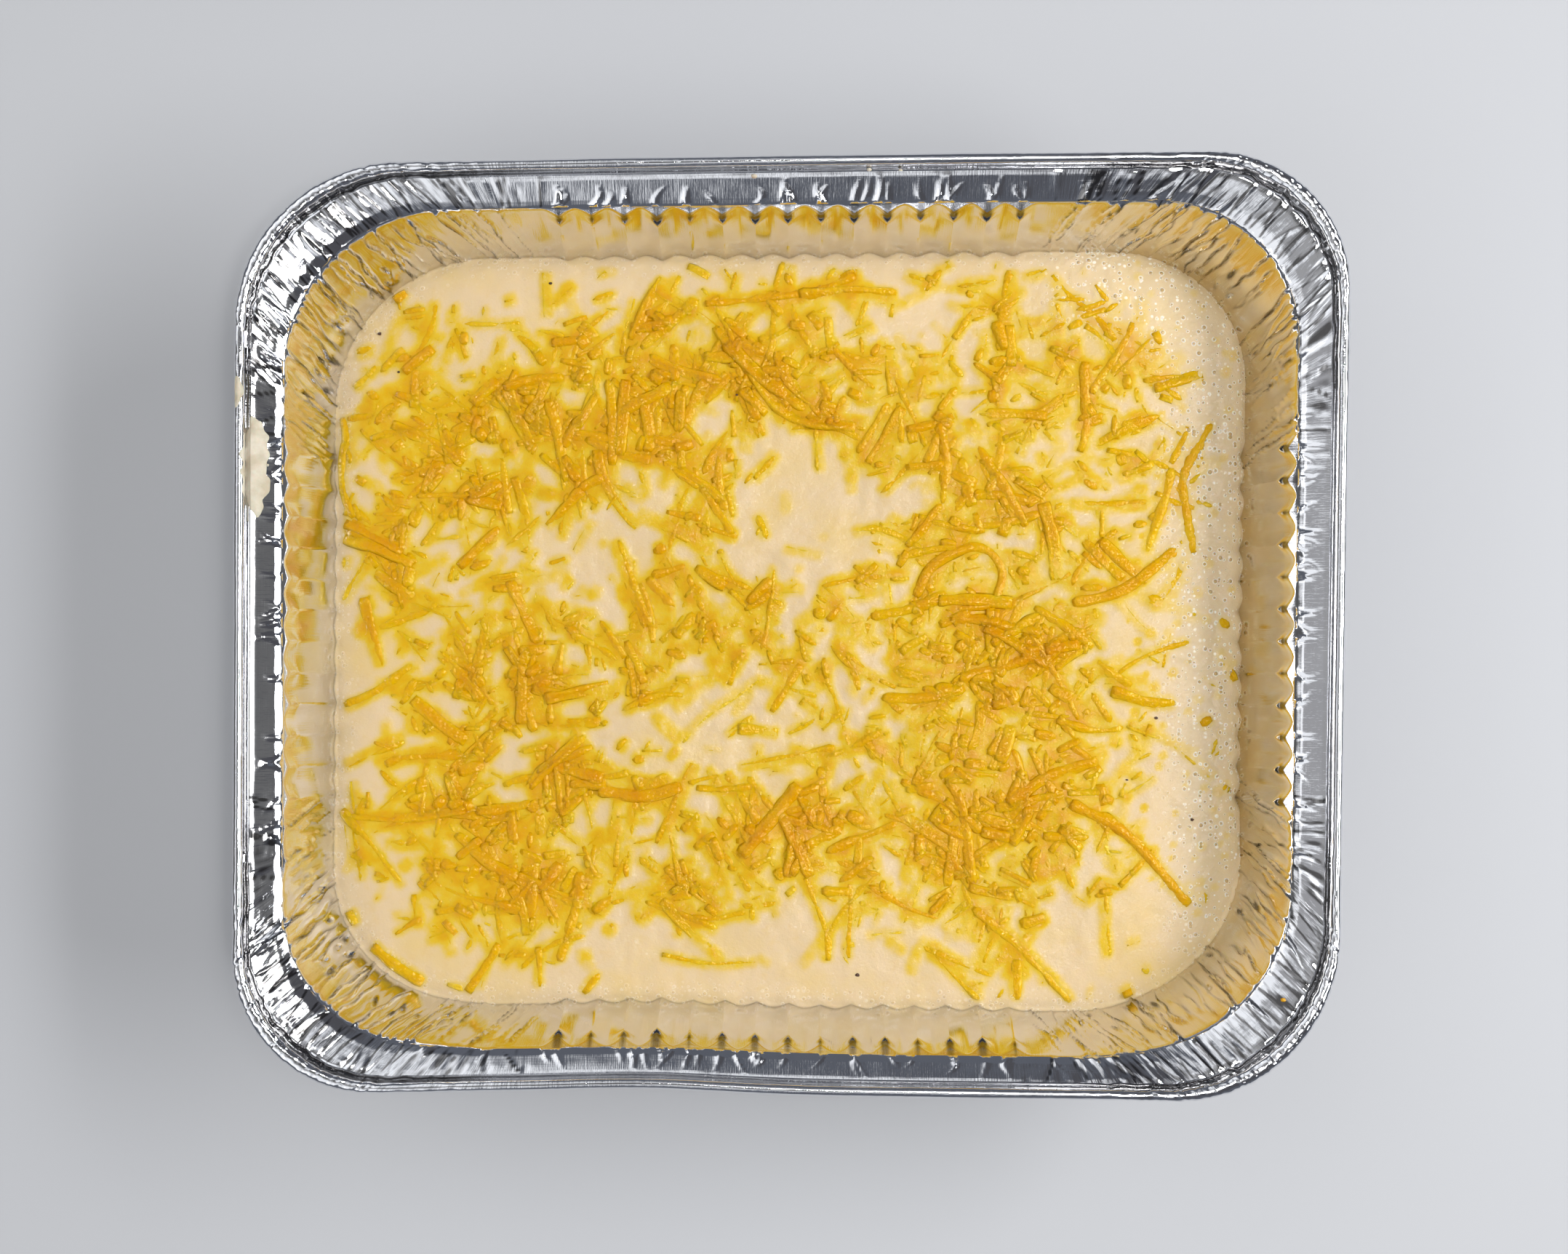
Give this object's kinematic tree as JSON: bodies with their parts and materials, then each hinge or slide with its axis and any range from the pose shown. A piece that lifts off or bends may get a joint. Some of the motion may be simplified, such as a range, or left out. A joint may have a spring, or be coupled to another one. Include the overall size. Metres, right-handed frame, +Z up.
{
  "type": "foil tray meal",
  "caption": "Rectangular aluminium foil tray with fluted walls and a rolled rim, part filled with a pale creamy bake strewn with half-melted shredded cheese.",
  "frame": {"origin": "centre of the underside of the tray", "axes": "+X along the long side of the tray, +Y across it, +Z up out of the tray"},
  "size_m": [0.3221, 0.2728, 0.062],
  "materials": {
    "foil": "bright rolled foil, creased at the corners",
    "cream": "moist, fine grained, slightly translucent",
    "cheese": "oily, half melted, translucent"
  },
  "bodies": {
    "root": {"foil_tray": "foil", "cheesy_filling": "cream"}
  },
  "joints": []
}
